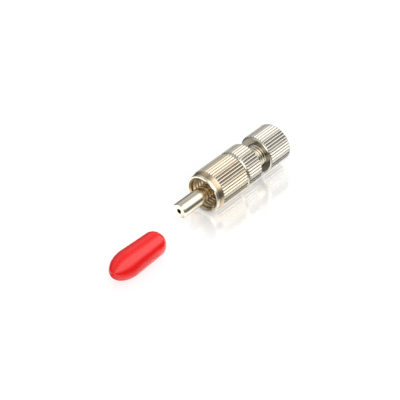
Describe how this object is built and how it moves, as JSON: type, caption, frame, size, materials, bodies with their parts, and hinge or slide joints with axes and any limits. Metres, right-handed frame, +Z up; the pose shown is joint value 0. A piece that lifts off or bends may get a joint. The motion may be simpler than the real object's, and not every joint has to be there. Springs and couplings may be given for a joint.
{
  "type": "threaded fibre optic connector for large-core fibre",
  "caption": "Screw-on fibre optic plug with a long metal ferrule, knurled coupling nut, threaded stud with a knurled clamp nut, and a loose red dust cap lying ahead of it.",
  "frame": {"origin": "on the plug's axis at the mating plane, the shoulder that the ferrule stands on", "axes": "+X along the ferrule, out of the plug; +Z up from the surface that the plug and its cap lie on; +Y to the left of the ferrule"},
  "size_m": [0.0487, 0.0086, 0.0082],
  "materials": {
    "ferrule_nickel": "nickel plated, bright turned",
    "body_nickel": "nickel plated, bright knurled",
    "spring_steel": "satin spring steel",
    "nut_nickel": "nickel plated with a warm champagne tint, bright knurled",
    "collet_brass": "bare turned brass",
    "clamp_nickel": "nickel plated, bright knurled, turned face",
    "cap_red": "glossy moulded red"
  },
  "bodies": {
    "connector": {"ferrule": "ferrule_nickel", "connector_body": "body_nickel"},
    "retaining_ring": {"retaining_ring": "spring_steel"},
    "coupling_nut": {"coupling_nut": "nut_nickel"},
    "clamping_collet": {"clamping_collet": "collet_brass"},
    "clamp_nut": {"clamp_nut": "clamp_nickel"},
    "dust_cap": {"dust_cap": "cap_red"}
  },
  "joints": [
    {"name": "ring_slide", "type": "slide", "parent": "connector", "child": "retaining_ring", "axis": [1, 0, 0], "range_m": [-0.00028, 0.0005]},
    {"name": "coupling_spin", "type": "hinge", "parent": "retaining_ring", "child": "coupling_nut", "pos_m": [0, 0, 0], "axis": [1, 0, 0], "continuous": true},
    {"name": "clamp_slide", "type": "slide", "parent": "connector", "child": "clamping_collet", "axis": [1, 0, 0], "range_m": [-0.0018, 0.0012]},
    {"name": "clamp_turn", "type": "hinge", "parent": "clamping_collet", "child": "clamp_nut", "pos_m": [-0.0155, 0, 0], "axis": [1, 0, 0], "range_deg": [-1080, 720]},
    {"name": "dust_cap_lift", "type": "slide", "parent": "connector", "child": "dust_cap", "axis": [0, 0, 1], "range_m": [0, 0.03]}
  ],
  "couplings": [
    {"joint": "clamp_turn", "follows": "clamp_slide", "rad_per_m": 10472}
  ]
}
